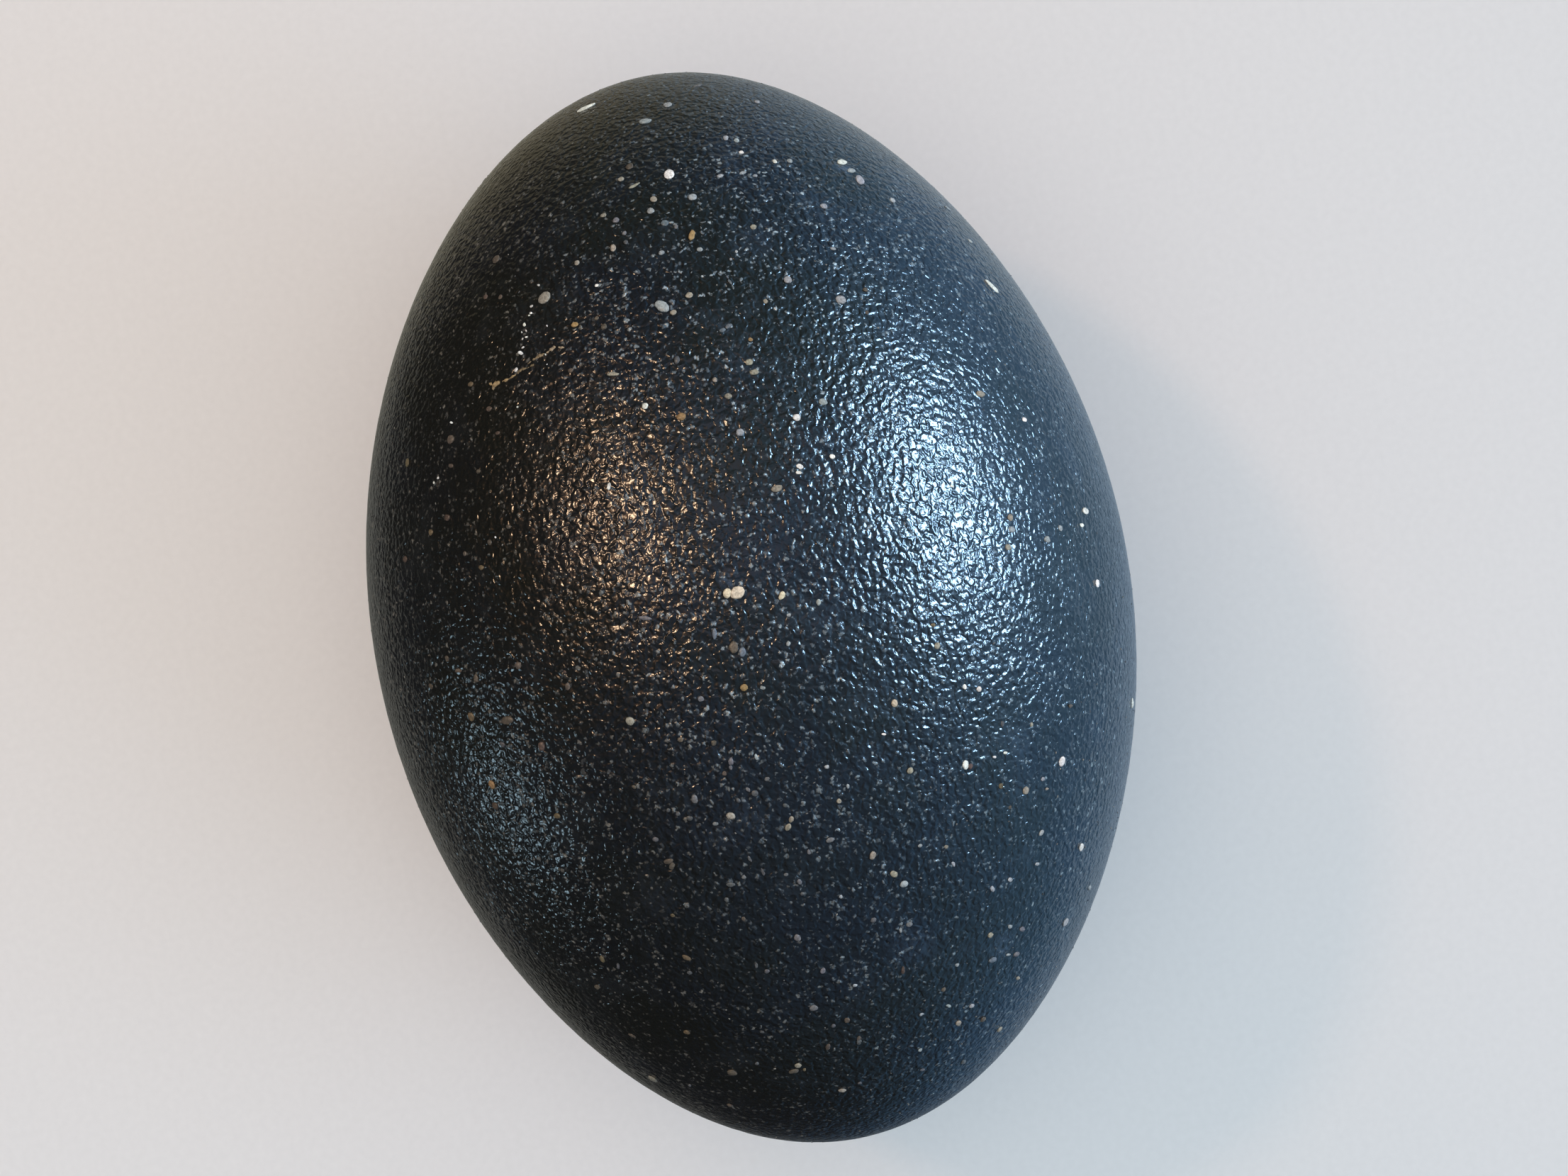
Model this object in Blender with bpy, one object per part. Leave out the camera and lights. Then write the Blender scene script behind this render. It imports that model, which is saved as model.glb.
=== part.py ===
# An emu egg lying on its side, as one closed solid.
# The long axis is along X, +Z is up, and the origin is under the egg's middle, on the surface it lies on.

import math

import bmesh
import bpy
from mathutils import Vector

# Driving dimensions, in metres
LENGTH = 0.1303
BREADTH = 0.0910
REST_SPOT_DEPTH = 0.0004  # height of the curve that the flat spot takes away

# Outline along the axis, where t runs from -1 at one end to 1 at the other:
# the girth is that of an ellipse, times 1 + TAPER * t + POINTING * t * t
TAPER = -0.0016  # below zero, so the +X end is very slightly the narrower one
POINTING = -0.080  # below zero, so both ends are a little more pointed than an ellipse's

SEGMENTS = 24  # faces along each edge of the cube that is rounded into the egg

# Shell finish
SHELL_COLOUR = (0.016, 0.020, 0.025, 1.0)
SHELL_ROUGHNESS = 0.32
SHELL_METALLIC = 0.0


def clear_scene():
    for item in list(bpy.data.objects):
        bpy.data.objects.remove(item, do_unlink=True)


def shell_material():
    material = bpy.data.materials.new("eggshell")
    material.use_nodes = True
    shader = material.node_tree.nodes["Principled BSDF"]
    shader.inputs["Base Color"].default_value = SHELL_COLOUR
    shader.inputs["Roughness"].default_value = SHELL_ROUGHNESS
    shader.inputs["Metallic"].default_value = SHELL_METALLIC
    return material


def sphere_direction(corner):
    """The direction of a point on the cube, with equal angles between neighbouring points."""
    spread = Vector([math.tan(value * math.pi / 4) for value in corner])
    return spread.normalized()


def shell_point(direction):
    """The point of the egg's surface that belongs to a direction from its middle."""
    t = direction.x
    girth = BREADTH / 2 * (1 + TAPER * t + POINTING * t * t)
    return Vector((LENGTH / 2 * t, girth * direction.y, girth * direction.z))


def cut_rest_spot(shape):
    """Cuts the lowest part of the curve off flat and closes the opening with one face."""
    everything = shape.verts[:] + shape.edges[:] + shape.faces[:]
    cut = bmesh.ops.bisect_plane(
        shape,
        geom=everything,
        plane_co=(0, 0, REST_SPOT_DEPTH - BREADTH / 2),
        plane_no=(0, 0, 1),
        clear_inner=True,
    )
    rim = [item for item in cut["geom_cut"] if isinstance(item, bmesh.types.BMEdge)]
    bmesh.ops.edgeloop_fill(shape, edges=rim)


def make_egg():
    shape = bmesh.new()
    bmesh.ops.create_cube(shape, size=2)
    bmesh.ops.subdivide_edges(
        shape, edges=shape.edges[:], cuts=SEGMENTS - 1, use_grid_fill=True
    )
    for vert in shape.verts:
        vert.co = shell_point(sphere_direction(vert.co))
    cut_rest_spot(shape)
    bmesh.ops.recalc_face_normals(shape, faces=shape.faces[:])

    mesh = bpy.data.meshes.new("egg")
    shape.to_mesh(mesh)
    shape.free()
    mesh.materials.append(shell_material())
    mesh.shade_smooth()
    mesh.set_sharp_from_angle(angle=math.radians(30))

    egg = bpy.data.objects.new("egg", mesh)
    egg.location = (0, 0, BREADTH / 2 - REST_SPOT_DEPTH)
    bpy.context.collection.objects.link(egg)
    return egg


clear_scene()
make_egg()
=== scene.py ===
import math
import random

import bpy
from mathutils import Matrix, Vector


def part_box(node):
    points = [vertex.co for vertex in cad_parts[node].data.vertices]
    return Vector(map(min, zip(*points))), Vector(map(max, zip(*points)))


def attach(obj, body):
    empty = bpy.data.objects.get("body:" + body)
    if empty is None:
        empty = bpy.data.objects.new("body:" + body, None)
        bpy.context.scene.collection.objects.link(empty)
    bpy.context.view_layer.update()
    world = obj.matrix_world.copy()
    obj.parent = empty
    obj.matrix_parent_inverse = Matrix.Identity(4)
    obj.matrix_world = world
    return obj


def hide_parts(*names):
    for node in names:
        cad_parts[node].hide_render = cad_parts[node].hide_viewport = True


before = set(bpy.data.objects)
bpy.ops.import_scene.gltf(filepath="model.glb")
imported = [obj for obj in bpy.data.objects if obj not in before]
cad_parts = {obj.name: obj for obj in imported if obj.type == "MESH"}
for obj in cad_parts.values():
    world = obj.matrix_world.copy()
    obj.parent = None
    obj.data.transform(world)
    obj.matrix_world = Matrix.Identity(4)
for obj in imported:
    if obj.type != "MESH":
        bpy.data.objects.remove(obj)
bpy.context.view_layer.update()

eggLow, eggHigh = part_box("egg")
print("frame loaded")

# The egg's measures, from its solid. Along the axis, t runs from -1 to 1.
egg = {
    "length": eggHigh.x - eggLow.x,
    "breadth": eggHigh.y - eggLow.y,
    "height": eggHigh.z - eggLow.z,
    "taper": -0.0016,  # the girth is an ellipse's times 1 + taper t + pointing t t
    "pointing": -0.080,
}
egg["middle"] = egg["height"] - egg["breadth"] / 2  # height of the long axis above the floor

# The picture: 2212 by 1659 pixels, with the camera square above the egg.
picture = {
    "width": 2212,
    "height": 1659,
    "middle": (1060.1, 856.8),  # pixel that the egg's middle falls on
    "focal": 2895,  # in pixels
    "distance": 0.25,  # from the lens to the egg's middle
    "turn": math.radians(78.2),  # from the picture's right to the +X end, which points down
}
pictureRight = Vector((math.cos(picture["turn"]), math.sin(picture["turn"]), 0))
pictureUp = Vector((-math.sin(picture["turn"]), math.cos(picture["turn"]), 0))
lensPlace = Vector((0, 0, egg["middle"] + picture["distance"]))


def linear(hexText):
    # sRGB hex to the linear colour that sockets take
    parts = [int(hexText[i : i + 2], 16) / 255 for i in (1, 3, 5)]
    parts = [p / 12.92 if p <= 0.04045 else ((p + 0.055) / 1.055) ** 2.4 for p in parts]
    return (*parts, 1)


def openSocket(sockets, name=None):
    # the first socket in use, or the first in use with this name
    return next(s for s in sockets if s.enabled and name in (None, s.name))


def addNode(tree, kind, inputs=None, **settings):
    # an input goes by its name, or by its number where names repeat. It takes a value, a socket or a node.
    node = tree.nodes.new(kind)
    for name, value in settings.items():
        setattr(node, name, value)
    for name, value in (inputs or {}).items():
        socket = node.inputs[name] if isinstance(name, int) else openSocket(node.inputs, name)
        source = openSocket(value.outputs) if isinstance(value, bpy.types.Node) else value
        if isinstance(source, bpy.types.NodeSocket):
            tree.links.new(source, socket)
        else:
            socket.default_value = source
    return node


def addRange(tree, value, low, high, least=0.0, most=1.0, **settings):
    # carries low to high onto least to most, and holds what lies outside
    ends = {"From Min": low, "From Max": high, "To Min": least, "To Max": most}
    return addNode(tree, "ShaderNodeMapRange", {"Value": value, **ends}, **settings)


def addMath(tree, operation, *values):
    return addNode(tree, "ShaderNodeMath", dict(enumerate(values)), operation=operation)


def addMix(tree, share, under, over, **settings):
    return addNode(
        tree, "ShaderNodeMix", {"Factor": share, "A": under, "B": over}, data_type="RGBA", **settings
    )


def newTree(name, sockets):
    # a Geometry Nodes tree with named inputs
    tree = bpy.data.node_groups.new(name, "GeometryNodeTree")
    tree.interface.new_socket("Geometry", in_out="OUTPUT", socket_type="NodeSocketGeometry")
    tree.interface.new_socket("Geometry", in_out="INPUT", socket_type="NodeSocketGeometry")
    for socketName, kind in sockets.items():
        tree.interface.new_socket(socketName, in_out="INPUT", socket_type=f"NodeSocket{kind}")
    return tree, addNode(tree, "NodeGroupInput").outputs


def meshFromTree(name, tree, values, base=None):
    # runs the tree once and keeps its result as a plain mesh
    piece = bpy.data.objects.new(name, base or bpy.data.meshes.new(name))
    bpy.context.scene.collection.objects.link(piece)
    modifier = piece.modifiers.new(name, "NODES")
    modifier.node_group = tree
    for item in tree.interface.items_tree:
        if item.in_out == "INPUT" and item.name in values:
            modifier[item.identifier] = values[item.name]
    graph = bpy.context.evaluated_depsgraph_get()
    mesh = bpy.data.meshes.new_from_object(
        piece.evaluated_get(graph), preserve_all_data_layers=True, depsgraph=graph
    )
    piece.modifiers.clear()
    piece.data = mesh
    mesh.name = name
    return piece


def directionTo(tilt, bearing):
    # tilt is from straight up, bearing is in the picture, from its right towards its top; both in degrees
    tilt = math.radians(tilt)
    bearing = math.radians(bearing)
    side = pictureRight * math.cos(bearing) + pictureUp * math.sin(bearing)
    return side * math.sin(tilt) + Vector((0, 0, math.cos(tilt)))


def sightLine(pixel):
    # from the lens through a pixel
    across = (pixel[0] - picture["middle"][0]) / picture["focal"]
    down = (pixel[1] - picture["middle"][1]) / picture["focal"]
    return (pictureRight * across - pictureUp * down - Vector((0, 0, 1))).normalized()


def seenPoint(solid, pixel):
    # where the sight line through a pixel meets the solid
    hit, place, _, _ = solid.ray_cast(lensPlace, sightLine(pixel))
    if not hit:
        raise ValueError(f"pixel {pixel} is off the egg")
    return place


def outwardAt(place):
    # the smooth egg's outward direction
    t = max(-0.999, min(0.999, place.x / (egg["length"] / 2)))
    girth = 1 + egg["taper"] * t + egg["pointing"] * t * t
    growth = egg["taper"] + 2 * egg["pointing"] * t
    axial = (girth * t - growth * (1 - t * t)) * egg["breadth"] / 2
    radial = math.sqrt(1 - t * t) * egg["length"] / 2
    side = Vector((0, place.y, place.z - egg["middle"])).normalized()
    return (Vector((axial, 0, 0)) + side * radial).normalized()


# Camera

lens = bpy.data.cameras.new("camera")
lens.sensor_width = 36
lens.lens = picture["focal"] / picture["width"] * lens.sensor_width
lens.shift_x = 0.5 - picture["middle"][0] / picture["width"]
lens.shift_y = (picture["middle"][1] - picture["height"] / 2) / picture["width"]
lens.clip_start = 0.01
camera = bpy.data.objects.new("camera", lens)
camera.location = lensPlace
camera.rotation_euler = (0, 0, picture["turn"])
bpy.context.scene.collection.objects.link(camera)
bpy.context.scene.camera = camera


# Shell material

shellLook = {
    "skin": "#121411",
    "skinCool": "#111417",
    "patchWidth": 0.016,
    "coolNoise": (0.4, 0.6),  # patch noise at which the skin starts to turn cool, and is cool
    "haze": "#454d57",
    "hazeWidth": 0.0065,
    "hazeNoise": (0.52, 0.74),  # cloud noise at which the haze starts, and is full
    "hazeMost": 0.1,
    "breakUpScale": 1100,  # noise cells to a metre, in the smudges
    "breakUpNoise": (0.38, 0.62),
    "breakUp": (0.1, 1.6),  # strength where that noise is low and high
    "coatRoughness": 0.17,
    "baseRoughness": 0.48,
    "baseSpecular": 0.14,
    "calciteIor": 1.5,
    "granuleSpacing": 0.00065,  # noise cell: the granules then lie about 1 mm apart
    "granuleHeight": 0.00024,
    "speckLeast": 0.42,  # how strongly the specks show away from the zones below
    "smudgeCore": 0.15,  # share of the radius with full strength
    "zoneCore": 0.1,
}

# Two sizes of speck, partly pale calcite and partly painted glints: spacing, largest radius and height in
# metres, share of cells that hold one, tones
specksAndGlints = [
    {
        "spacing": 0.0005,
        "radius": 0.0003,
        "height": 0.00005,
        "share": 0.9,
        "tones": ("#4a4c4c", "#9c9a92"),
    },
    {
        "spacing": 0.0009,
        "radius": 0.00032,
        "height": 0.00007,
        "share": 0.6,
        "tones": ("#5c5e5e", "#b4b1a8"),
    },
]

speckForm = {
    "raggedCell": 0.6,  # noise cells to a radius, in the outline
    "raggedness": 2.8,  # how far the noise pushes the outline, in radii
    "emptyReach": -0.04,  # reach of a cell without a speck
    "patchNoise": (0.36, 0.64),
    "patchy": (0.8, 1.1),  # size where the patch noise is low and high
    "edge": 0.5,  # share of the largest reach over which a speck fades in
    "tonePower": 2.1,  # above 1, few specks are pale
}

# Where the specks show most, as painted glints of the window's halo: pixel, radius in pixels, strength
speckAndGlintZones = [(1050, 400, 330, 0.6), (1060, 830, 300, 0.4)]

# Bluish or pale bloom rubbed onto the skin: pixel, radius in pixels, strength
smudges = [
    (1190, 236, 20, 0.3),
    (1023, 463, 12, 0.2),
    (1028, 816, 18, 0.4),
    (1415, 1335, 34, 0.2),
    (1440, 1050, 30, 0.12),
    (1290, 1340, 60, 0.08),
    (938, 318, 14, 0.2),
    (1060, 340, 60, 0.08),
    (861, 702, 12, 0.15),
]


def addSpecksAndGlints(tree, place, patches, zones, setting, under):
    # small pale spots of uneven outline, partly pale calcite and partly painted glints: one to a cell,
    # larger where the patch noise is high
    form = speckForm
    scale = form["raggedCell"] / setting["radius"]
    ragged = addNode(tree, "ShaderNodeTexNoise", {"Vector": place, "Scale": scale, "Detail": 2})
    shifted = addNode(
        tree, "ShaderNodeVectorMath", {0: ragged.outputs["Color"], 1: (0.5, 0.5, 0.5)}, operation="SUBTRACT"
    )
    spread = (setting["radius"] * form["raggedness"],) * 3
    near = addNode(
        tree, "ShaderNodeVectorMath", {0: shifted, 1: spread, 2: place}, operation="MULTIPLY_ADD"
    )
    cells = addNode(
        tree, "ShaderNodeTexVoronoi", {"Vector": near, "Scale": 1 / setting["spacing"], "Randomness": 1.0}
    )
    lot = addNode(tree, "ShaderNodeSeparateColor", {"Color": cells.outputs["Color"]})
    most = setting["radius"] / setting["spacing"]
    reach = addRange(tree, lot.outputs["Red"], 1 - setting["share"], 1.0, form["emptyReach"], most)
    patchy = addRange(tree, patches, *form["patchNoise"], *form["patchy"])
    size = addMath(tree, "MULTIPLY", reach, patchy)
    inside = addMath(tree, "SUBTRACT", size, cells.outputs["Distance"])
    dome = addRange(tree, inside, 0.0, most, interpolation_type="SMOOTHSTEP")
    mask = addRange(tree, inside, 0.0, most * form["edge"], 0.0, zones)
    dark, pale = setting["tones"]
    few = addMath(tree, "POWER", lot.outputs["Green"], form["tonePower"])
    tone = addMix(tree, few, linear(dark), linear(pale))
    return addMix(tree, mask, under, tone), dome


def nearness(tree, place, x, y, radius, core):
    # 1 within the core's share of the radius round a pixel's place on the egg, fading to 0 at the radius
    middle = seenPoint(eggSolid, (x, y))
    width = radius * (lensPlace.z - middle.z) / picture["focal"]
    away = addNode(tree, "ShaderNodeVectorMath", {0: place, 1: middle}, operation="DISTANCE")
    return addRange(tree, away.outputs["Value"], width, width * core, interpolation_type="SMOOTHSTEP")


def makeShellMaterial():
    # Eggshell: layered calcite under a dark pigmented skin of fused granules. The skin has a thin polish, so
    # each granule catches its own small glint.
    # Pale specks are partly calcite that shows where a granule's tip is worn, and partly painted glints.
    look = shellLook
    material = bpy.data.materials.new("eggshellPigmented")
    material.use_nodes = True
    tree = material.node_tree
    shader = tree.nodes["Principled BSDF"]
    place = addNode(tree, "ShaderNodeTexCoord").outputs["Object"]

    patches = addNode(
        tree,
        "ShaderNodeTexNoise",
        {"Vector": place, "Scale": 1 / look["patchWidth"], "Detail": 3, "Roughness": 0.6},
    )
    cool = addRange(tree, patches, *look["coolNoise"])
    skin = addMix(tree, cool, linear(look["skin"]), linear(look["skinCool"]))
    cloud = addNode(
        tree,
        "ShaderNodeTexNoise",
        {"Vector": place, "Scale": 1 / look["hazeWidth"], "Detail": 4, "Roughness": 0.65},
    )
    haze = addRange(tree, cloud, *look["hazeNoise"], 0.0, look["hazeMost"])
    # each smudge fades out from its own place, broken up by a fine noise
    breakUp = addNode(
        tree,
        "ShaderNodeTexNoise",
        {"Vector": place, "Scale": look["breakUpScale"], "Detail": 3, "Roughness": 0.7},
    )
    broken = addRange(tree, breakUp, *look["breakUpNoise"], *look["breakUp"])
    for x, y, radius, strength in smudges:
        part = addMath(tree, "MULTIPLY", broken, strength)
        near = nearness(tree, place, x, y, radius, look["smudgeCore"])
        haze = addMath(tree, "MULTIPLY_ADD", near, part, haze)
    colour = addMix(tree, haze, skin, linear(look["haze"]))
    # painted glints: the specks show more strongly within these zones, where the window's halo falls
    zones = look["speckLeast"]
    for x, y, radius, strength in speckAndGlintZones:
        near = nearness(tree, place, x, y, radius, look["zoneCore"])
        zones = addMath(tree, "MULTIPLY_ADD", near, strength, zones)
    granules = addNode(
        tree,
        "ShaderNodeTexNoise",
        {
            "Vector": place,
            "Scale": 1 / look["granuleSpacing"],
            "Detail": 0.6,
            "Roughness": 0.45,
            "Distortion": 0.5,
        },
    )
    height = addMath(tree, "MULTIPLY", granules, look["granuleHeight"])
    for setting in specksAndGlints:
        colour, dome = addSpecksAndGlints(tree, place, patches, zones, setting, colour)
        height = addMath(tree, "MULTIPLY_ADD", dome, setting["height"], height)
    bump = addNode(tree, "ShaderNodeBump", {"Height": height, "Distance": 1.0, "Strength": 1.0})
    tree.links.new(openSocket(colour.outputs), shader.inputs["Base Color"])
    tree.links.new(bump.outputs[0], shader.inputs["Normal"])
    tree.links.new(bump.outputs[0], shader.inputs["Coat Normal"])
    shader.inputs["Roughness"].default_value = look["baseRoughness"]
    shader.inputs["Specular IOR Level"].default_value = look["baseSpecular"]
    shader.inputs["IOR"].default_value = look["calciteIor"]
    shader.inputs["Coat Weight"].default_value = 1.0
    shader.inputs["Coat Roughness"].default_value = look["coatRoughness"]
    shader.inputs["Coat IOR"].default_value = look["calciteIor"]
    return material


eggSolid = bpy.data.objects["egg"]


# Shell: a cube's grid rounded into the egg, so that it has no poles

shellPiece = {
    "Faces Along": 158,
    "Faces Across": 115,
    "Inset": 0.00005,
    "Relief Depth": 0.00008,
    "Relief Spacing": 0.0017,
    "Seed": 3.0,
}


def shellTree():
    tree, value = newTree(
        "eggShell",
        {
            "Length": "Float",
            "Breadth": "Float",
            "Middle": "Float",
            "Taper": "Float",
            "Pointing": "Float",
            "Faces Along": "Int",
            "Faces Across": "Int",
            "Inset": "Float",
            "Relief Depth": "Float",
            "Relief Spacing": "Float",
            "Seed": "Float",
            "Material": "Material",
        },
    )
    along = addMath(tree, "ADD", value["Faces Along"], 1)
    across = addMath(tree, "ADD", value["Faces Across"], 1)
    cube = addNode(
        tree,
        "GeometryNodeMeshCube",
        {"Size": (2, 2, 2), "Vertices X": along, "Vertices Y": across, "Vertices Z": across},
    )
    corner = addNode(tree, "GeometryNodeInputPosition")
    angle = addNode(
        tree, "ShaderNodeVectorMath", {0: corner, "Scale": math.pi / 4}, operation="SCALE"
    )
    spread = addNode(tree, "ShaderNodeVectorMath", {0: angle}, operation="TANGENT")
    direction = addNode(tree, "ShaderNodeVectorMath", {0: spread}, operation="NORMALIZE")
    t = addNode(tree, "ShaderNodeSeparateXYZ", {0: direction}).outputs["X"]
    slope = addMath(tree, "MULTIPLY_ADD", t, value["Pointing"], value["Taper"])
    girth = addMath(tree, "MULTIPLY_ADD", t, slope, 1)
    halfLength = addMath(tree, "MULTIPLY", value["Length"], 0.5)
    halfBreadth = addMath(tree, "MULTIPLY", value["Breadth"], 0.5)
    radius = addMath(tree, "MULTIPLY", halfBreadth, girth)
    reach = addNode(tree, "ShaderNodeCombineXYZ", {0: halfLength, 1: radius, 2: radius})
    point = addNode(tree, "ShaderNodeVectorMath", {0: direction, 1: reach}, operation="MULTIPLY")
    rounded = addNode(
        tree, "GeometryNodeSetPosition", {"Geometry": cube.outputs["Mesh"], "Position": point}
    )
    scale = addMath(tree, "DIVIDE", 1, value["Relief Spacing"])
    relief = addNode(
        tree,
        "ShaderNodeTexNoise",
        {
            "Vector": addNode(tree, "GeometryNodeInputPosition"),
            "W": value["Seed"],
            "Scale": scale,
            "Detail": 1,
        },
        noise_dimensions="4D",
    )
    below = addMath(tree, "SUBTRACT", relief, 1)
    inset = addMath(tree, "MULTIPLY", value["Inset"], -1)
    drop = addMath(tree, "MULTIPLY_ADD", below, value["Relief Depth"], inset)
    inward = addNode(
        tree,
        "ShaderNodeVectorMath",
        {0: addNode(tree, "GeometryNodeInputNormal"), "Scale": drop},
        operation="SCALE",
    )
    pitted = addNode(tree, "GeometryNodeSetPosition", {"Geometry": rounded, "Offset": inward})
    # lifted onto the floor, with the flat spot pressed level
    now = addNode(tree, "ShaderNodeSeparateXYZ", {0: addNode(tree, "GeometryNodeInputPosition")})
    lifted = addMath(tree, "ADD", now.outputs["Z"], value["Middle"])
    level = addMath(tree, "MAXIMUM", lifted, 0)
    settled = addNode(tree, "ShaderNodeCombineXYZ", {0: now.outputs["X"], 1: now.outputs["Y"], 2: level})
    resting = addNode(tree, "GeometryNodeSetPosition", {"Geometry": pitted, "Position": settled})
    smooth = addNode(tree, "GeometryNodeSetShadeSmooth", {"Geometry": resting})
    whole = addNode(tree, "GeometryNodeRealizeInstances", {"Geometry": smooth})
    dressed = addNode(
        tree, "GeometryNodeSetMaterial", {"Geometry": whole, "Material": value["Material"]}
    )
    addNode(tree, "NodeGroupOutput", {0: dressed})
    return tree


shell = meshFromTree(
    "eggShell",
    shellTree(),
    {
        **shellPiece,
        "Length": egg["length"],
        "Breadth": egg["breadth"],
        "Middle": egg["middle"],
        "Taper": egg["taper"],
        "Pointing": egg["pointing"],
        "Material": makeShellMaterial(),
    },
)
bpy.context.view_layer.update()
print("shell:", len(shell.data.polygons), "faces")


# Grains: pale mineral grains that stand on the skin, and tiny white ones painted as glints

grainTones = {
    "white": "#e6e9e6",
    "ivory": "#cdc5ad",
    "milk": "#9aa1a6",
    "cream": "#969185",
    "pale": "#74757a",
    "amber": "#9a7f58",
    "ochre": "#6e614b",
    "tan": "#5f574e",
    "grey": "#5b5e61",
    "blue": "#66717c",
    "rust": "#5c4e47",
}

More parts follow.
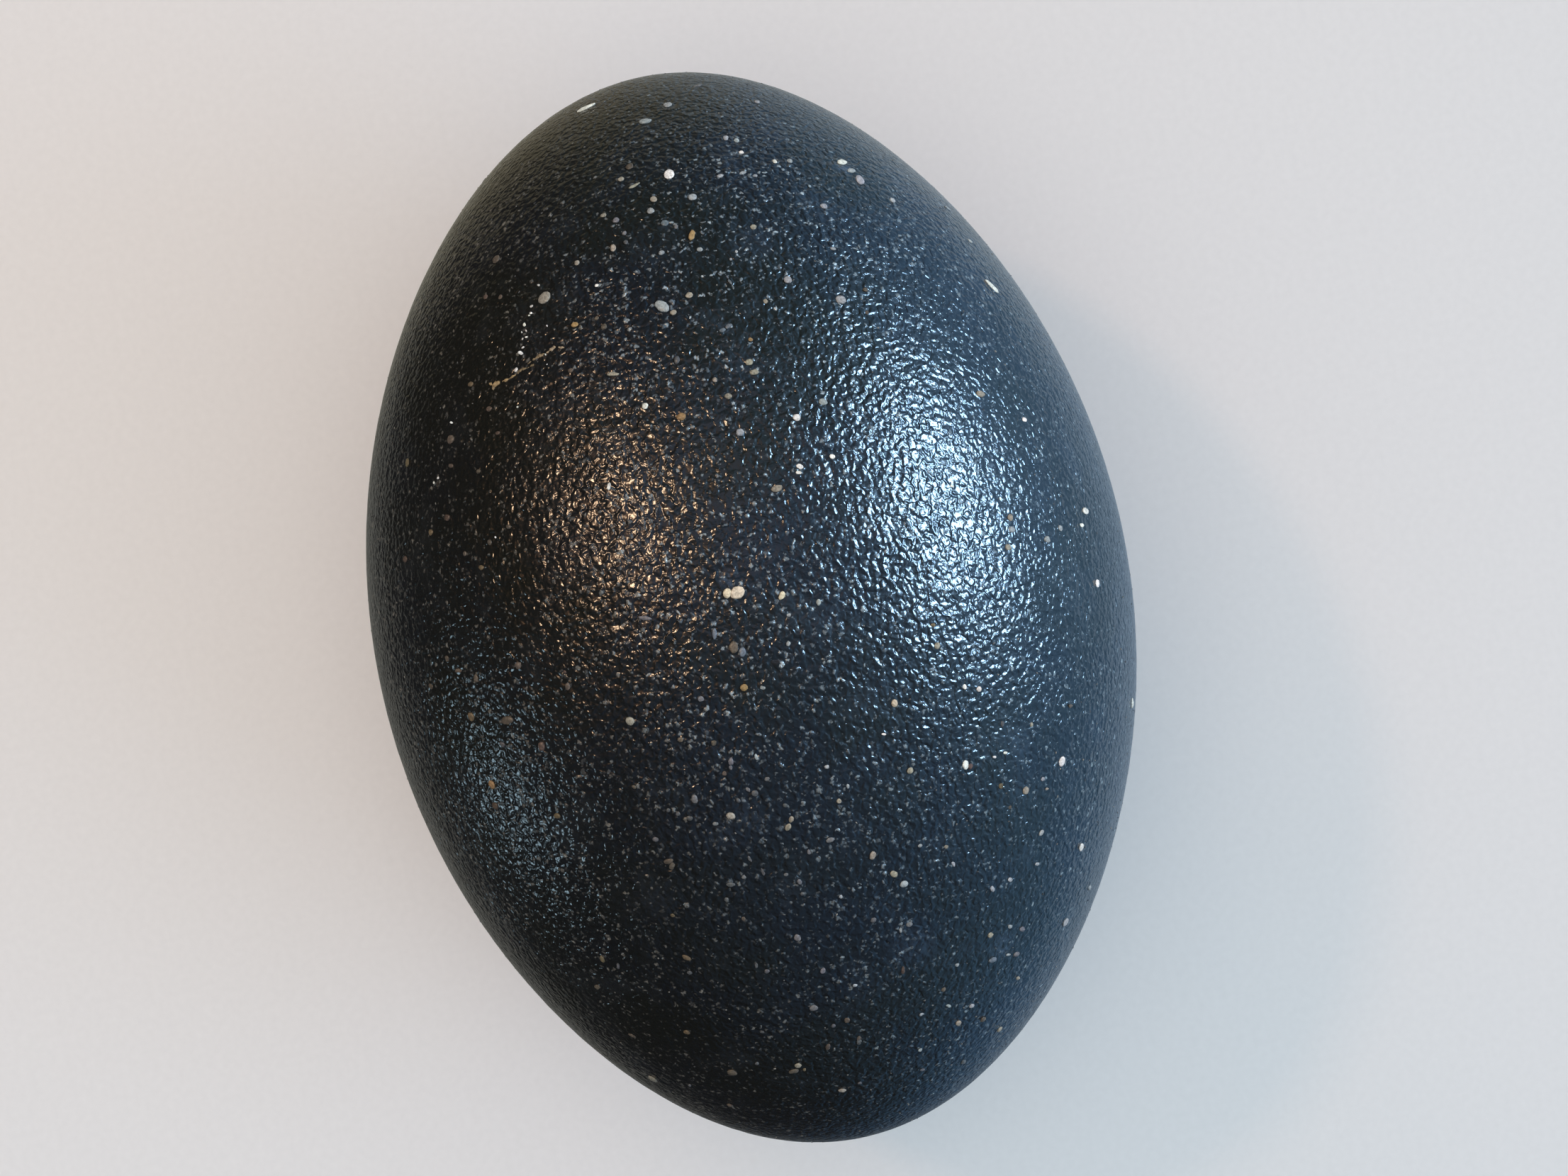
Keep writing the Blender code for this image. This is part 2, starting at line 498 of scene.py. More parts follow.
# Where each grain shows in the picture: its pixel, its length and width in pixels, and by how many degrees
# its length rises to the right
seenGrains = {
    "white": [
        (827, 152, 29, 6, 25), (944, 246, 15, 14, 0), (1046, 215, 7, 4, 0), (1093, 228, 6, 6, 0),
        (842, 403, 6, 4, 0), (1188, 229, 13, 6, 10), (1124, 589, 12, 9, -10), (1128, 658, 11, 7, -20),
        (1127, 667, 9, 5, 0), (1174, 644, 9, 6, 0), (1531, 721, 9, 9, 0), (1526, 741, 6, 6, 0),
        (1445, 592, 6, 6, 0), (1343, 686, 5, 5, 0), (910, 573, 10, 8, 45), (1399, 404, 28, 5, -45),
        (859, 686, 11, 5, 80), (1362, 1079, 14, 8, 95), (1498, 1074, 14, 8, 60), (1525, 1195, 12, 7, 70),
        (1548, 823, 10, 6, 80), (1597, 992, 15, 5, 90), (1381, 972, 8, 7, 90), (1361, 969, 8, 6, 100),
        (1403, 1068, 6, 4, 0), (1418, 1062, 6, 4, 0), (1247, 1036, 7, 4, 0),
    ],
    "ivory": [
        (1026, 837, 15, 12, 80), (1040, 836, 22, 18, 30), (1103, 840, 13, 9, 70), (1262, 992, 12, 9, 100),
    ],
    "milk": [
        (942, 148, 12, 7, 0), (1068, 144, 7, 4, 0), (918, 298, 11, 8, 0), (1016, 248, 10, 5, 20),
        (1048, 244, 11, 4, 20), (1065, 248, 7, 4, 0), (1039, 355, 4, 4, 0), (1031, 366, 4, 4, 0),
        (1213, 254, 12, 10, 90), (1162, 291, 10, 7, 0), (1175, 351, 8, 5, 0), (1259, 283, 10, 5, -30),
        (1337, 294, 10, 3, -30), (1112, 908, 8, 6, 90), (1196, 1109, 7, 5, 90), (1537, 1252, 8, 6, 70),
        (1275, 1247, 12, 9, 10), (1471, 1099, 6, 5, 90), (1270, 1312, 7, 4, 100), (1206, 1390, 7, 4, 0),
        (1300, 1431, 6, 4, 0), (1298, 1481, 5, 4, 0), (1371, 1419, 6, 5, 0), (1350, 1361, 5, 4, 0),
        (1422, 1347, 6, 4, 0), (1425, 1307, 6, 5, 0), (1503, 1301, 8, 8, 0), (1463, 1219, 6, 4, 0),
        (1400, 1254, 8, 5, -70), (1166, 1082, 7, 6, 0), (1067, 1068, 10, 5, -80), (1111, 395, 12, 10, 0),
        (1161, 567, 12, 10, 0), (910, 171, 19, 7, 10), (977, 278, 12, 9, 0), (934, 432, 22, 15, -40),
        (1076, 970, 8, 6, 0), (1114, 227, 8, 5, 0), (1024, 195, 8, 7, 0), (1039, 198, 7, 6, 0),
        (933, 357, 9, 6, 0), (987, 352, 9, 6, 0), (1368, 340, 8, 4, -40), (1186, 1265, 6, 5, 0),
        (1298, 1193, 6, 5, 0), (1345, 1219, 8, 5, -60), (1425, 1241, 7, 6, 60), (1469, 1175, 10, 5, 60),
        (1338, 1419, 7, 4, -20), (1186, 423, 15, 12, 0), (1113, 868, 6, 6, 0), (1155, 850, 10, 7, 90),
        (1044, 610, 12, 11, 0), (1201, 241, 10, 5, 10), (1427, 747, 10, 9, 0), (1477, 761, 10, 8, 90),
        (1496, 745, 8, 6, 90),
    ],
    "cream": [
        (895, 262, 18, 4, 30), (922, 281, 9, 8, 0), (1063, 321, 9, 7, 0), (865, 350, 11, 8, 90),
        (851, 304, 9, 6, 0), (814, 371, 7, 7, 0), (1057, 511, 11, 9, 0), (1064, 525, 14, 8, 0),
        (1008, 536, 7, 7, 0), (1096, 689, 17, 10, 20), (1383, 556, 13, 9, 0), (768, 420, 21, 14, 50),
        (865, 528, 18, 6, 0), (889, 1017, 13, 12, 0), (1031, 1151, 14, 10, -25), (1112, 1167, 11, 8, 80),
        (1116, 1156, 10, 7, 70), (1284, 1087, 10, 9, 0), (1231, 1207, 13, 9, 80), (1261, 1233, 12, 9, -30),
        (1447, 1115, 12, 8, 65), (1335, 1195, 6, 5, 0), (1126, 1503, 10, 6, 0), (921, 1522, 15, 8, -25),
        (1188, 1538, 12, 5, 5), (1352, 1443, 9, 7, 30), (1397, 1319, 7, 7, 0), (1477, 1113, 5, 4, 0),
        (1436, 1380, 6, 5, 60), (1455, 1022, 7, 4, 80), (1184, 1130, 7, 7, 0), (1322, 911, 10, 8, 80),
        (1425, 730, 10, 7, 90), (1422, 772, 9, 8, 90), (1410, 1452, 5, 5, 0), (876, 253, 9, 6, 0),
        (1027, 559, 11, 9, 0), (1080, 425, 6, 6, 0), (950, 441, 9, 8, 0), (972, 417, 11, 8, 0),
    ],
    "amber": [
        (976, 332, 15, 9, 80), (961, 588, 14, 11, 10), (1059, 479, 7, 6, 0), (1050, 970, 11, 10, 0),
        (811, 458, 10, 8, 0), (694, 1107, 12, 9, 90),
    ],
    "ochre": [
        (664, 542, 8, 7, 0), (575, 653, 12, 5, 90), (608, 751, 9, 6, 90), (665, 1011, 13, 9, 90),
        (786, 1151, 10, 8, 0), (969, 1351, 14, 6, -27), (850, 1353, 11, 5, -70), (969, 1456, 10, 5, -15),
        (1135, 1509, 5, 5, 0), (1316, 882, 7, 6, 0), (949, 1291, 6, 5, 0), (1412, 1109, 8, 6, 90),
        (679, 801, 8, 7, 0), (716, 1018, 9, 8, 0),
    ],
    "tan": [
        (1035, 913, 18, 14, 90), (943, 1215, 14, 8, 20), (948, 1222, 12, 8, 70), (1033, 1513, 15, 7, -8),
        (716, 1016, 17, 12, 10), (888, 235, 11, 8, 0), (1221, 409, 8, 6, 0), (1223, 441, 6, 6, 0),
        (700, 366, 13, 8, 60), (706, 419, 6, 6, 0), (842, 449, 6, 6, 0), (852, 461, 9, 8, 0),
        (805, 523, 8, 7, 0), (636, 620, 13, 10, 90), (636, 657, 7, 6, 0), (675, 665, 6, 6, 0),
        (656, 781, 7, 5, 90), (691, 765, 8, 6, 90), (718, 743, 8, 7, 0), (1007, 1048, 8, 8, 0),
        (960, 1043, 8, 7, 0), (672, 957, 12, 7, 90), (647, 946, 10, 6, 0), (631, 929, 9, 5, 90),
        (608, 968, 8, 6, 90), (801, 968, 12, 7, 90), (731, 939, 11, 9, 90), (894, 1110, 6, 6, 0),
        (1510, 996, 6, 6, 0), (1425, 1139, 6, 4, 90), (1168, 1477, 10, 6, 80), (1212, 1466, 10, 6, 90),
        (1195, 1439, 8, 7, 0), (1030, 1559, 10, 4, -15), (843, 1392, 8, 6, -50), (892, 1461, 12, 3, -25),
        (1331, 1396, 6, 6, 0), (1387, 1438, 6, 5, 0), (1120, 1511, 14, 6, 15), (1049, 1296, 6, 5, 0),
        (1022, 1091, 7, 6, 0),
    ],
    "pale": [
        (984, 121, 12, 3, 10), (1128, 1244, 8, 6, -40), (973, 1531, 4, 4, 0), (1055, 1114, 9, 5, -60),
        (1031, 1083, 6, 5, 90), (1171, 1185, 12, 7, 20), (980, 1127, 13, 9, -80), (1125, 1323, 11, 9, -60),
        (1148, 1422, 12, 8, 0), (1161, 1369, 9, 7, 70), (869, 311, 9, 7, 0), (881, 329, 7, 6, 0),
        (954, 320, 6, 6, 0), (989, 986, 9, 8, 0), (1031, 1074, 12, 8, 90), (1141, 1202, 7, 5, 90),
        (1049, 1237, 7, 6, 0), (1109, 1234, 6, 5, 0), (1283, 1304, 9, 7, 0), (1009, 1162, 8, 6, 0),
        (1442, 1311, 8, 7, 60), (1434, 1346, 8, 6, 0), (910, 872, 20, 6, -10),
    ],
    "grey": [
        (955, 508, 12, 8, 80), (925, 1184, 9, 7, 0), (1031, 1248, 13, 6, 0), (973, 1154, 9, 8, 0),
        (883, 342, 6, 6, 0), (1065, 1119, 10, 9, 0), (1108, 1136, 7, 6, 0), (1025, 1269, 6, 6, 0),
        (1132, 1261, 7, 5, 0), (1076, 1230, 12, 4, -70), (1232, 1298, 8, 8, 0), (943, 1143, 6, 6, 0),
        (957, 1148, 7, 6, 0), (1058, 1212, 10, 4, -60), (1041, 1129, 8, 6, -60), (1082, 1099, 8, 6, 30),
        (1414, 1021, 10, 5, 90), (973, 1372, 8, 5, 0), (872, 1363, 8, 4, 90), (1068, 1500, 6, 4, 0),
        (1212, 1469, 9, 7, 90), (1082, 1370, 8, 7, 0), (1067, 1362, 7, 5, 90), (1213, 1528, 6, 3, 0),
        (1176, 1447, 7, 5, 0), (1075, 1456, 6, 3, 0), (1359, 1498, 8, 6, 40), (1301, 1509, 7, 3, 0),
        (709, 1050, 8, 8, 0),
    ],
    "blue": [
        (938, 315, 11, 9, 0), (1009, 384, 7, 3, 20), (1015, 387, 6, 3, -30), (1021, 385, 6, 3, 0),
        (1026, 391, 6, 3, -50), (1030, 398, 9, 4, -60), (1034, 405, 8, 3, -70), (1028, 408, 5, 3, 0),
        (1019, 466, 9, 6, 20), (1008, 894, 16, 7, 90), (1047, 920, 14, 10, 90), (1400, 1354, 12, 6, 20),
        (1028, 460, 11, 6, 30),
    ],
    "rust": [
        (685, 419, 6, 6, 0), (690, 577, 8, 7, 0), (702, 611, 7, 6, 0), (631, 730, 10, 8, 90),
        (572, 789, 10, 6, 90), (764, 1053, 13, 10, 90), (797, 948, 5, 5, 0), (1369, 1081, 9, 7, 90),
        (699, 1137, 10, 8, 90), (1274, 1369, 12, 5, 90),
    ],
}

# Painted glints: tiny white grains that stand in for bright glints, most of them beside the vein: pixel and
# size in pixels
paintedGlintGrains = [
    (760, 402, 5), (750, 432, 5), (749, 442, 5), (747, 445, 4), (740, 458, 7), (742, 467, 4), (736, 469, 4),
    (743, 476, 4), (737, 478, 4), (738, 490, 5), (734, 498, 8), (772, 460, 4), (772, 514, 3), (728, 522, 7),
    (770, 500, 4), (637, 596, 5), (618, 674, 4), (612, 681, 4), (699, 758, 4), (730, 574, 4),
]

grainPiece = {
    "Subdivisions": 2,
    "Unevenness": 0.00026,
    "Lump Spacing": 0.00042,
    "Seed": 5.0,
    "thickness": 0.4,  # of a grain's width
    "tallest": 0.00016,  # half of a grain's height
    "sunk": 0.42,  # share of that height that lies below the skin
    "seed": 11,
    "glintShape": (0.9, 0.6),  # length and width, as shares of a glint grain's size
    "shade": (0.8, 1.1),  # how far a grain's tone varies, and then each of its colours
    "colourShade": (0.96, 1.04),
    "unseen": 190,  # seeded grains where the picture doesn't look
    "unseenHalfWidth": 0.00022,  # of the narrowest; the widest is larger by this share
    "unseenWider": 1.3,
    "unseenStretch": (1.1, 1.9),  # length over width
    "unseenWeights": (1, 1, 3, 5, 4, 1, 2, 4, 5, 1, 1),  # of the tones, in their order above
    "unseenFacing": -0.1,  # a grain that faces the lens more than this is left out
    "unseenClear": 0.0012,  # height above the floor that stays clear
}


def grainSeat(place, along, halfLength, halfWidth, tone, lots):
    # one grain: its place, its axes, its half sizes and its colour
    outward = outwardAt(place)
    halfHeight = min(grainPiece["thickness"] * halfWidth, grainPiece["tallest"])
    shade = lots.uniform(*grainPiece["shade"])
    tint = [c * shade * lots.uniform(*grainPiece["colourShade"]) for c in linear(grainTones[tone])[:3]]
    seat = place + outward * halfHeight * (1 - 2 * grainPiece["sunk"])
    return {
        "place": seat,
        "along": (along - outward * along.dot(outward)).normalized(),
        "outward": outward,
        "size": Vector((halfLength, halfWidth, halfHeight)),
        "tint": (*tint, 1),
    }


def seatFromPixel(x, y, length, width, rise, tone, lots):
    # the grain's ends are carried from the picture onto the plane that touches the egg there
    place = seenPoint(shell, (x, y))
    outward = outwardAt(place)

    def onPlane(distance, angle):
        sight = sightLine((x + distance * math.cos(angle), y - distance * math.sin(angle)))
        return lensPlace + sight * ((place - lensPlace).dot(outward) / sight.dot(outward))

    angle = math.radians(rise)
    along = onPlane(length / 2, angle) - place
    across = onPlane(width / 2, angle + math.pi / 2) - place
    flat = (place - lensPlace).length / picture["focal"]  # metres to a pixel, seen square on
    halfLength = min(along.length, flat * length)
    halfWidth = min(across.length, flat * width)
    if halfWidth > halfLength:
        halfLength, halfWidth, along = halfWidth, halfLength, across
    return grainSeat(place, along, halfLength, halfWidth, tone, lots)


def seatsOnUnseenSide(count, lots):
    seats = []
    axis = Vector((0, 0, egg["middle"]))
    while len(seats) < count:
        direction = Vector([lots.gauss(0, 1) for _ in range(3)]).normalized()
        _, place, _, _ = shell.ray_cast(axis, direction)
        outward = outwardAt(place)
        toLens = (lensPlace - place).normalized()
        if outward.dot(toLens) > grainPiece["unseenFacing"] or place.z < grainPiece["unseenClear"]:
            continue
        halfWidth = grainPiece["unseenHalfWidth"] * (1 + lots.random() ** 3 * grainPiece["unseenWider"])
        tone = lots.choices(list(grainTones), weights=grainPiece["unseenWeights"])[0]
        along = outward.orthogonal().lerp(outward.cross(outward.orthogonal()), lots.random())
        halfLength = halfWidth * lots.uniform(*grainPiece["unseenStretch"])
        seats.append(grainSeat(place, along, halfLength, halfWidth, tone, lots))
    return seats


def seatMesh(name, seats):
    # one vertex to a grain, with the rest as attributes that the tree reads
    mesh = bpy.data.meshes.new(name)
    mesh.from_pydata([s["place"] for s in seats], [], [])
    for key in ("along", "outward", "size"):
        values = mesh.attributes.new(key, "FLOAT_VECTOR", "POINT").data
        for seat, entry in zip(seats, values):
            entry.vector = seat[key]
    values = mesh.attributes.new("tint", "FLOAT_COLOR", "POINT").data
    for seat, entry in zip(seats, values):
        entry.color = seat["tint"]
    return mesh


def finishGrains(tree, value, grains):
    # makes the grains uneven, keeps them in the egg's box, and dresses them
    whole = addNode(tree, "GeometryNodeRealizeInstances", {"Geometry": grains})
    scale = addMath(tree, "DIVIDE", 1, value["Lump Spacing"])
    lumps = addNode(
        tree,
        "ShaderNodeTexNoise",
        {
            "Vector": addNode(tree, "GeometryNodeInputPosition"),
            "W": value["Seed"],
            "Scale": scale,
            "Detail": 1,
        },
        noise_dimensions="4D",
    )
    centred = addNode(
        tree, "ShaderNodeVectorMath", {0: lumps.outputs["Color"], 1: (0.5, 0.5, 0.5)}, operation="SUBTRACT"
    )
    shift = addNode(
        tree, "ShaderNodeVectorMath", {0: centred, "Scale": value["Unevenness"]}, operation="SCALE"
    )
    uneven = addNode(tree, "GeometryNodeSetPosition", {"Geometry": whole, "Offset": shift})
    above = addNode(
        tree,
        "ShaderNodeVectorMath",
        {0: addNode(tree, "GeometryNodeInputPosition"), 1: value["Low"]},
        operation="MAXIMUM",
    )
    within = addNode(tree, "ShaderNodeVectorMath", {0: above, 1: value["High"]}, operation="MINIMUM")
    boxed = addNode(tree, "GeometryNodeSetPosition", {"Geometry": uneven, "Position": within})
    smooth = addNode(tree, "GeometryNodeSetShadeSmooth", {"Geometry": boxed})
    dressed = addNode(
        tree, "GeometryNodeSetMaterial", {"Geometry": smooth, "Material": value["Material"]}
    )
    addNode(tree, "NodeGroupOutput", {0: dressed})


grainSockets = {
    "Subdivisions": "Int",
    "Unevenness": "Float",
    "Lump Spacing": "Float",
    "Seed": "Float",
    "Low": "Vector",
    "High": "Vector",
    "Material": "Material",
}


def grainTree():
    tree, value = newTree("grains", grainSockets)
    stone = addNode(tree, "GeometryNodeMeshIcoSphere", {"Subdivisions": value["Subdivisions"]})
    given = {
        name: addNode(tree, "GeometryNodeInputNamedAttribute", {"Name": name}, data_type="FLOAT_VECTOR")
        for name in ("along", "outward", "size")
    }
    turned = addNode(
        tree,
        "FunctionNodeAxesToRotation",
        {"Primary Axis": given["outward"], "Secondary Axis": given["along"]},
        primary_axis="Z",
        secondary_axis="X",
    )
    grains = addNode(
        tree,
        "GeometryNodeInstanceOnPoints",
        {"Points": value["Geometry"], "Instance": stone, "Rotation": turned, "Scale": given["size"]},
    )
    finishGrains(tree, value, grains)
    return tree


calciteLook = {
    "stainScale": 4500,  # noise cells to a metre
    "stainNoise": (0.35, 0.65),
    "stain": (0.62, 1.1),  # share of a grain's own tint where that noise is low and high
    "pitDepth": 0.00004,
    "pitStrength": 0.8,
    "roughness": 0.42,
    "ior": 1.55,
}


def makeGrainMaterial():
    # Calcite grain: crystalline lime, dull and slightly waxy, each grain in its own stain
    look = calciteLook
    material = bpy.data.materials.new("calciteGrain")
    material.use_nodes = True
    tree = material.node_tree
    shader = tree.nodes["Principled BSDF"]
    place = addNode(tree, "ShaderNodeTexCoord").outputs["Object"]
    tint = addNode(tree, "ShaderNodeAttribute", attribute_name="tint")
    stain = addNode(
        tree, "ShaderNodeTexNoise", {"Vector": place, "Scale": look["stainScale"], "Detail": 2}
    )
    share = addRange(tree, stain, *look["stainNoise"], *look["stain"])
    colour = addNode(
        tree, "ShaderNodeVectorMath", {0: tint.outputs["Color"], "Scale": share}, operation="SCALE"
    )
    bump = addNode(
        tree,
        "ShaderNodeBump",
        {"Height": stain, "Distance": look["pitDepth"], "Strength": look["pitStrength"]},
    )
    tree.links.new(colour.outputs[0], shader.inputs["Base Color"])
    tree.links.new(bump.outputs[0], shader.inputs["Normal"])
    shader.inputs["Roughness"].default_value = look["roughness"]
    shader.inputs["IOR"].default_value = look["ior"]
    return material


calciteGrain = makeGrainMaterial()
boxInputs = {"Low": eggLow, "High": eggHigh, "Material": calciteGrain}
lots = random.Random(grainPiece["seed"])
seats = [seatFromPixel(*grain, tone, lots) for tone, group in seenGrains.items() for grain in group]
# the painted glints go in as white grains
for x, y, size in paintedGlintGrains:
    length, width = (size * share for share in grainPiece["glintShape"])
    seats.append(seatFromPixel(x, y, length, width, lots.uniform(0, 180), "white", lots))
seats += seatsOnUnseenSide(grainPiece["unseen"], lots)
grains = meshFromTree("grains", grainTree(), {**grainPiece, **boxInputs}, seatMesh("grains", seats))
print("grains:", len(seats), "with", len(grains.data.polygons), "faces")


# Fine grains: seeded over the whole shell, thicker in some patches than in others

fineGrainPiece = {
    "Subdivisions": 1,
    "Unevenness": 0.00006,
    "Lump Spacing": 0.0002,
    "Seed": 8.0,
    "Density": 66000.0,  # to a square metre
    "Patch Width": 0.014,
    "Smallest": (0.00008, 0.00005, 0.00003),
    "Largest": (0.00019, 0.00012, 0.00006),
    "Scatter Seed": 4,
    "Dark Tint": linear("#43464b"),
    "Pale Tint": linear("#92908a"),
    "patchNoise": (0.36, 0.64),
    "patchy": (0.25, 1.6),  # share of the density where the patch noise is low and high
    "tonePower": 2.2,  # above 1, few grains are pale
}


def fineGrainTree():
    tree, value = newTree(
        "fineGrains",
        {
            **grainSockets,
            "Density": "Float",
            "Patch Width": "Float",
            "Smallest": "Vector",
            "Largest": "Vector",
            "Scatter Seed": "Int",
            "Dark Tint": "Color",
            "Pale Tint": "Color",
        },
    )
    scale = addMath(tree, "DIVIDE", 1, value["Patch Width"])
    patch = addNode(
        tree,
        "ShaderNodeTexNoise",
        {"Vector": addNode(tree, "GeometryNodeInputPosition"), "Scale": scale, "Detail": 2},
    )
    share = addRange(tree, patch, *fineGrainPiece["patchNoise"], *fineGrainPiece["patchy"])
    density = addMath(tree, "MULTIPLY", share, value["Density"])
    scatter = addNode(
        tree,
        "GeometryNodeDistributePointsOnFaces",
        {"Mesh": value["Geometry"], "Density": density, "Seed": value["Scatter Seed"]},
    )
    lot = addNode(tree, "FunctionNodeRandomValue", {"Seed": 21}, data_type="FLOAT")
    few = addMath(tree, "POWER", lot, fineGrainPiece["tonePower"])
    tint = addMix(tree, few, value["Dark Tint"], value["Pale Tint"])
    tinted = addNode(
        tree,
        "GeometryNodeStoreNamedAttribute",
        {"Geometry": scatter.outputs["Points"], "Name": "tint", "Value": tint},
        data_type="FLOAT_COLOR",
        domain="POINT",
    )
    angle = addNode(tree, "FunctionNodeRandomValue", {"Max": math.tau, "Seed": 22}, data_type="FLOAT")
    spin = addNode(tree, "FunctionNodeAxisAngleToRotation", {"Axis": (0, 0, 1), "Angle": angle})
    turned = addNode(
        tree,
        "FunctionNodeRotateRotation",
        {"Rotation": scatter.outputs["Rotation"], "Rotate By": spin},
        rotation_space="LOCAL",
    )
    size = addNode(
        tree,
        "FunctionNodeRandomValue",
        {"Min": value["Smallest"], "Max": value["Largest"], "Seed": 23},
        data_type="FLOAT_VECTOR",
    )
    stone = addNode(tree, "GeometryNodeMeshIcoSphere", {"Subdivisions": value["Subdivisions"]})
    grains = addNode(
        tree,
        "GeometryNodeInstanceOnPoints",
        {"Points": tinted, "Instance": stone, "Rotation": turned, "Scale": size},
    )
    finishGrains(tree, value, grains)
    return tree


fineGrains = meshFromTree(
    "fineGrains",
    fineGrainTree(),
    {**fineGrainPiece, **boxInputs},
    shell.data.copy(),
)
print("fine grains:", len(fineGrains.data.polygons), "faces")


# Vein: a thin seam of lime on the skin, in five broken branches

veinPiece = {
    "Step": 0.00009,
    "Sides": 7,
    "Unevenness": 0.0003,
    "Lump Spacing": 0.00035,
    "Seed": 2.0,
    "sunk": 0.5,  # share of its half width that lies below the skin
    "swellCells": 0.7,  # noise cells to a lump, in the width
    "swellNoise": (0.35, 0.65),
    "swell": (0.35, 1.35),  # share of the width where that noise is low and high
    # each branch: its tint, then pixels along it with the seam's width there in pixels
    "branches": [
        (
            "#a18a64",
            [(690, 541, 5), (697, 543, 9), (706, 539, 8), (716, 535, 6), (724, 531, 6), (733, 526, 4)],
        ),
        ("#86755a", [(695, 550, 3), (697, 544, 6)]),
        ("#75674f", [(729, 528, 4), (736, 521, 8), (743, 519, 4), (753, 514, 3)]),
        ("#86755c", [(744, 513, 2), (753, 507, 5), (762, 502, 6), (768, 499, 5)]),
        ("#a3927a", [(771, 498, 5), (777, 493, 8), (782, 490, 8), (787, 490, 4), (796, 490, 2)]),
    ],
}


def veinTree():
    tree, value = newTree("vein", {**grainSockets, "Step": "Float", "Sides": "Int"})
    curve = addNode(tree, "GeometryNodeMeshToCurve", {"Mesh": value["Geometry"]})
    fine = addNode(
        tree, "GeometryNodeResampleCurve", {"Curve": curve, "Length": value["Step"]}, mode="LENGTH"
    )
    width = addNode(tree, "GeometryNodeInputNamedAttribute", {"Name": "halfWidth"}, data_type="FLOAT")
    circle = addNode(
        tree, "GeometryNodeCurvePrimitiveCircle", {"Resolution": value["Sides"], "Radius": 1.0}
    )
    # the width swells and pinches along the seam
    scale = addMath(tree, "DIVIDE", veinPiece["swellCells"], value["Lump Spacing"])
    swell = addNode(
        tree,
        "ShaderNodeTexNoise",
        {"Vector": addNode(tree, "GeometryNodeInputPosition"), "Scale": scale, "Detail": 1},
    )
    share = addRange(tree, swell, *veinPiece["swellNoise"], *veinPiece["swell"])
    uneven = addMath(tree, "MULTIPLY", width, share)
    tube = addNode(
        tree,
        "GeometryNodeCurveToMesh",
        {"Curve": fine, "Profile Curve": circle, "Scale": uneven, "Fill Caps": True},
    )
    finishGrains(tree, value, tube)
    return tree


def veinMesh():
    points = []
    edges = []
    halfWidths = []
    tints = []
    for tint, branch in veinPiece["branches"]:
        for step, (x, y, width) in enumerate(branch):
            place = seenPoint(shell, (x, y))
            if step:
                edges.append((len(points) - 1, len(points)))
            halfWidth = width / 2 * (place - lensPlace).length / picture["focal"]
            points.append(place - outwardAt(place) * halfWidth * veinPiece["sunk"])
            halfWidths.append(halfWidth)
            tints.append(linear(tint))
    mesh = bpy.data.meshes.new("vein")
    mesh.from_pydata(points, edges, [])
    values = mesh.attributes.new("halfWidth", "FLOAT", "POINT").data
    for halfWidth, entry in zip(halfWidths, values):
        entry.value = halfWidth
    values = mesh.attributes.new("tint", "FLOAT_COLOR", "POINT").data
    for tint, entry in zip(tints, values):
        entry.color = tint
    return mesh


vein = meshFromTree("vein", veinTree(), {**veinPiece, **boxInputs}, veinMesh())
print("vein:", len(vein.data.polygons), "faces")


eggPieces = [shell, grains, fineGrains, vein]


# Floor: round, sweeping up into a low wall, in metres

sweep = {"flat": 3.0, "bend": 1.0, "wall": 2.4, "sides": 96, "bendSteps": 10}


paintLook = {
    "tones": ("#efece9", "#f6f3f0"),
    "stippleScale": 900,  # noise cells to a metre
    "roughness": 0.9,
    "specular": 0.2,
}


def makePaint():
    # Matt emulsion paint: a faint roller stipple, no gloss
    look = paintLook
    material = bpy.data.materials.new("mattPaint")
    material.use_nodes = True
    tree = material.node_tree
    shader = tree.nodes["Principled BSDF"]
    place = addNode(tree, "ShaderNodeTexCoord").outputs["Object"]
    stipple = addNode(
        tree, "ShaderNodeTexNoise", {"Vector": place, "Scale": look["stippleScale"], "Detail": 3}
    )
    tint = addMix(tree, stipple, *[linear(tone) for tone in look["tones"]])
    tree.links.new(openSocket(tint.outputs), shader.inputs["Base Color"])
    shader.inputs["Roughness"].default_value = look["roughness"]
    shader.inputs["Specular IOR Level"].default_value = look["specular"]
    return material


def makeFloor():
    rings = [(sweep["flat"], 0.0)]
    for step in range(1, sweep["bendSteps"] + 1):
        angle = math.pi / 2 * step / sweep["bendSteps"]
        outwards = sweep["bend"] * math.sin(angle)
        upwards = sweep["bend"] * (1 - math.cos(angle))
        rings.append((sweep["flat"] + outwards, upwards))
    rings.append((sweep["flat"] + sweep["bend"], sweep["wall"]))
    sides = sweep["sides"]
    points = []
    for radius, height in rings:
        for side in range(sides):
            turn = math.tau * side / sides
            points.append((radius * math.cos(turn), radius * math.sin(turn), height))
    faces = [tuple(range(sides))]
    for ring in range(len(rings) - 1):
        for side in range(sides):
            low = ring * sides + side
            lowNext = ring * sides + (side + 1) % sides
            faces.append((low, low + sides, lowNext + sides, lowNext))
    mesh = bpy.data.meshes.new("floor")
    mesh.from_pydata(points, [], faces)
    for face in mesh.polygons[1:]:
        face.use_smooth = True
    mesh.materials.append(makePaint())
    floor = bpy.data.objects.new("floor", mesh)
    floor.visible_glossy = False  # the shell mirrors the surroundings below instead
    bpy.context.scene.collection.objects.link(floor)
    return floor


floor = makeFloor()


# Light

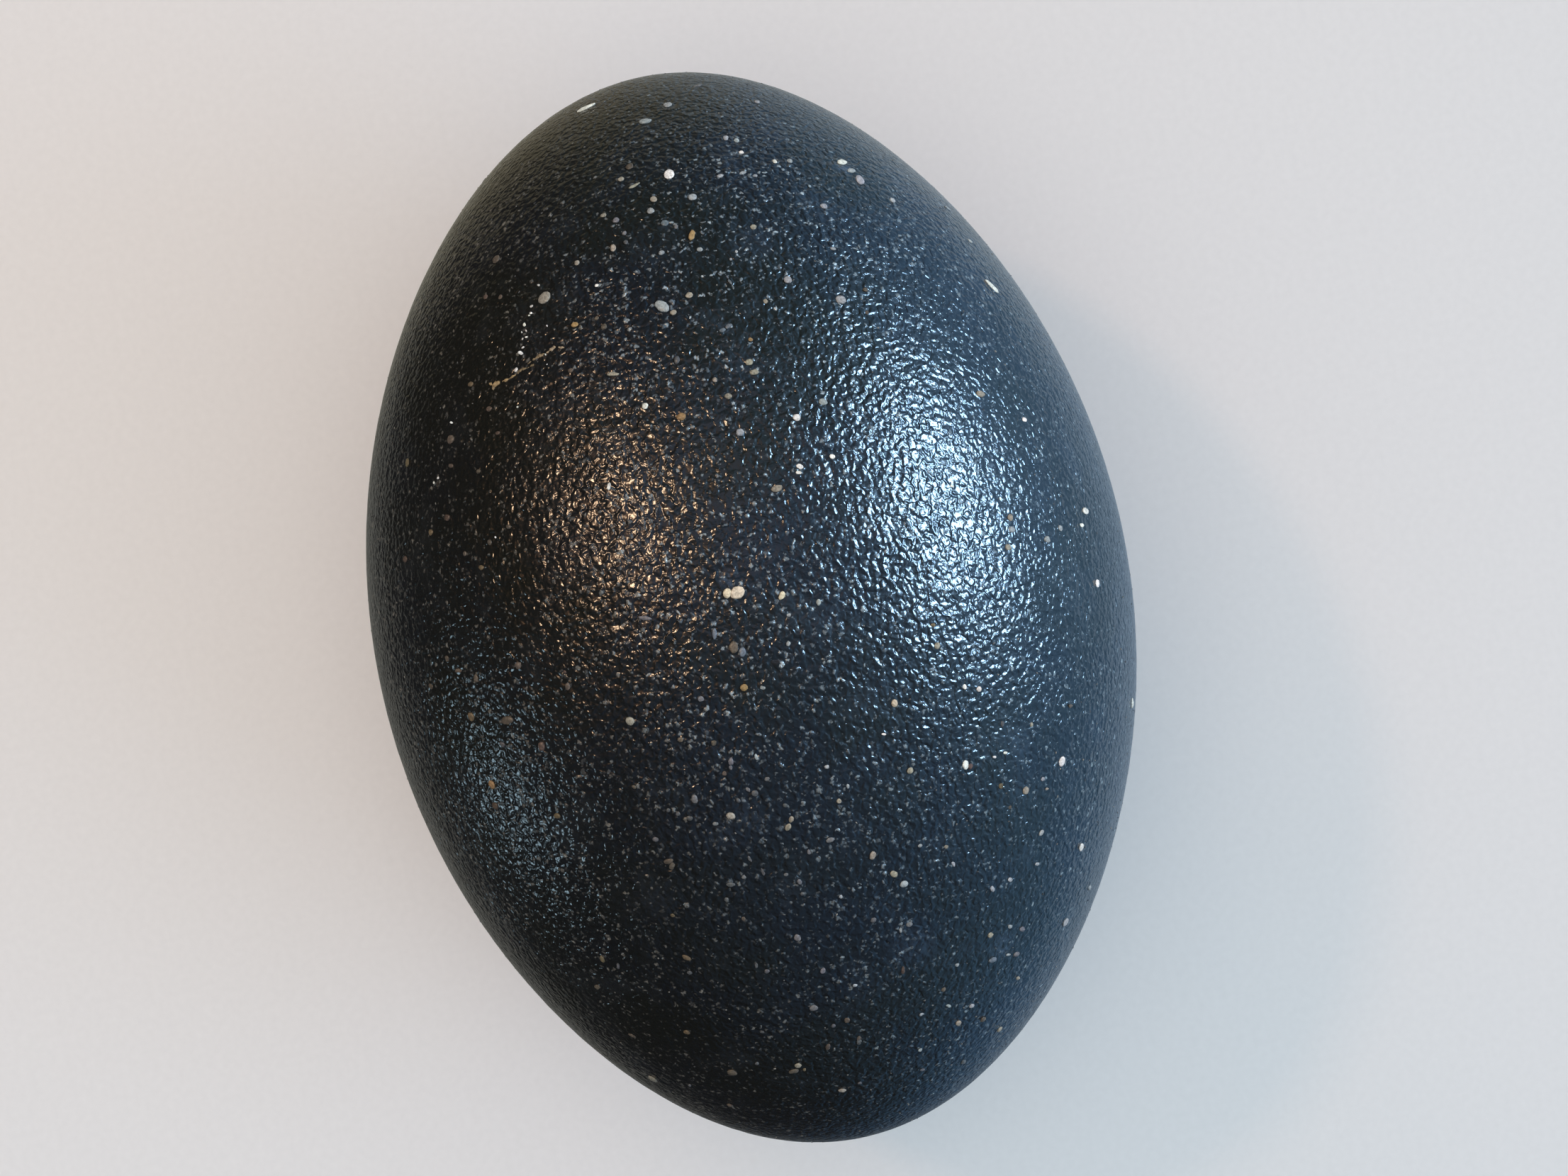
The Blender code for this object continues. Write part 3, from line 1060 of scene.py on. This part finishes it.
# Each lamp: its direction and distance from the egg's middle, its size across and up in metres, its power
# and colour, and the group of pieces that it lights
lights = {
    "window": {
        "tilt": 62.8,
        "bearing": 22.8,
        "distance": 1.3,
        "size": (0.62, 0.34),
        "watts": 48.5,
        "colour": "#a9d4fb",
        "on": "shell",
    },
    "windowOnGrains": {
        "tilt": 60,
        "bearing": 24,
        "distance": 1.3,
        "size": (0.8, 0.8),
        "watts": 16,
        "colour": "#fbfdff",
        "on": "grains",
    },
    "warmLamp": {
        "tilt": 36,
        "bearing": 158,
        "distance": 1.0,
        "size": (0.11, 0.13),
        "watts": 3.4,
        "colour": "#ffd8b0",
        "on": "egg",
    },
    "warmHalo": {
        "tilt": 37,
        "bearing": 160,
        "distance": 1.0,
        "size": (0.4, 0.4),
        "watts": 0.85,
        "colour": "#c47a40",
        "on": "shell",
    },
    "lowFill": {
        "tilt": 93,
        "bearing": 208.5,
        "distance": 1.2,
        "size": (0.28, 0.17),
        "watts": 1.45,
        "colour": "#bfe0f2",
        "on": "shell",
    },
    "warmWash": {
        "tilt": 37.5,
        "bearing": 153,
        "distance": 1.0,
        "size": (0.09, 0.09),
        "watts": 1.1,
        "colour": "#ffc69e",
        "on": "floor",
    },
    "sideWash": {
        "tilt": 70,
        "bearing": 125,
        "distance": 1.2,
        "size": (0.6, 0.6),
        "watts": 2.4,
        "colour": "#ffae6a",
        "on": "floor",
    },
    "overhead": {
        "tilt": 4,
        "bearing": 190,
        "distance": 0.33,
        "size": (0.2, 0.2),
        "watts": 0.2,
        "colour": "#fff6ee",
        "on": "floor",
    },
    "coolWash": {
        "tilt": 68,
        "bearing": 345,
        "distance": 1.1,
        "size": (0.8, 0.8),
        "watts": 4.2,
        "colour": "#90ccff",
        "on": "floor",
    },
}

lit = {"egg": eggPieces, "shell": [shell], "grains": eggPieces[1:], "floor": [floor]}
receivers = {}
for groupName, members in lit.items():
    receivers[groupName] = bpy.data.collections.new(f"{groupName}Lit")
    for member in members:
        receivers[groupName].objects.link(member)


def addLight(name, tilt, bearing, distance, size, watts, colour, on):
    direction = directionTo(tilt, bearing)
    data = bpy.data.lights.new(name, "AREA")
    data.shape = "RECTANGLE"
    data.size, data.size_y = size
    data.energy = watts
    data.color = linear(colour)[:3]
    light = bpy.data.objects.new(name, data)
    light.location = Vector((0, 0, egg["middle"])) + direction * distance
    light.rotation_euler = direction.to_track_quat("Z", "Y").to_euler()
    light.visible_camera = False
    light.visible_glossy = on in ("egg", "shell")
    light.light_linking.receiver_collection = receivers[on]
    bpy.context.scene.collection.objects.link(light)


for lightName, setting in lights.items():
    addLight(lightName, **setting)

# The ceiling's light, as even as a wide soft disc straight overhead
ceiling = {"degrees": 110, "strength": 1.32, "colour": "#f6fefa"}
ceilingData = bpy.data.lights.new("ceiling", "SUN")
ceilingData.angle = math.radians(ceiling["degrees"])
ceilingData.energy = ceiling["strength"]
ceilingData.color = linear(ceiling["colour"])[:3]
ceilingLight = bpy.data.objects.new("ceiling", ceilingData)
ceilingLight.visible_glossy = False
bpy.context.scene.collection.objects.link(ceilingLight)

# What the gloss mirrors beside the lamps: a dim room with soft glows. Each is full within its inner angle
# and ends at its outer one, in degrees; its colour is linear.
surroundings = {
    "plain": "#2b2b2d",
    "glows": [
        {"tilt": 108, "bearing": 12, "inner": 22, "outer": 88, "colour": (0.12, 0.30, 0.55)},
        {"tilt": 135, "bearing": 94, "inner": 15, "outer": 47, "colour": (0.22, 0.19, 0.12)},
        {"tilt": 163, "bearing": 190, "inner": 12, "outer": 35, "colour": (0.16, 0.16, 0.14)},
        {"tilt": 20, "bearing": 92, "inner": 2, "outer": 22, "colour": (0.3, 0.3, 0.42)},
        {"tilt": 150, "bearing": 5, "inner": 10, "outer": 42, "colour": (0.18, 0.14, 0.06)},
        {"tilt": 45, "bearing": 300, "inner": 10, "outer": 75, "colour": (0.05, 0.08, 0.14)},
    ],
}


def makeAir():
    world = bpy.data.worlds.new("studio")
    world.use_nodes = True
    tree = world.node_tree
    back = tree.nodes["Background"]
    ray = addNode(tree, "ShaderNodeTexCoord").outputs["Generated"]
    total = linear(surroundings["plain"])
    for glow in surroundings["glows"]:
        toward = directionTo(glow["tilt"], glow["bearing"])
        facing = addNode(tree, "ShaderNodeVectorMath", {0: ray, 1: toward}, operation="DOT_PRODUCT")
        edge, core = (math.cos(math.radians(glow[key])) for key in ("outer", "inner"))
        share = addRange(tree, facing.outputs["Value"], edge, core, interpolation_type="SMOOTHSTEP")
        total = addMix(tree, share, total, (*glow["colour"], 1), blend_type="ADD")
    tree.links.new(openSocket(total.outputs), back.inputs["Color"])
    back.inputs["Strength"].default_value = 1.0
    bpy.context.scene.world = world


makeAir()
bpy.context.scene.view_settings.view_transform = "Standard"
print("stage lit")

for piece in eggPieces:
    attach(piece, "root")
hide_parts("egg")
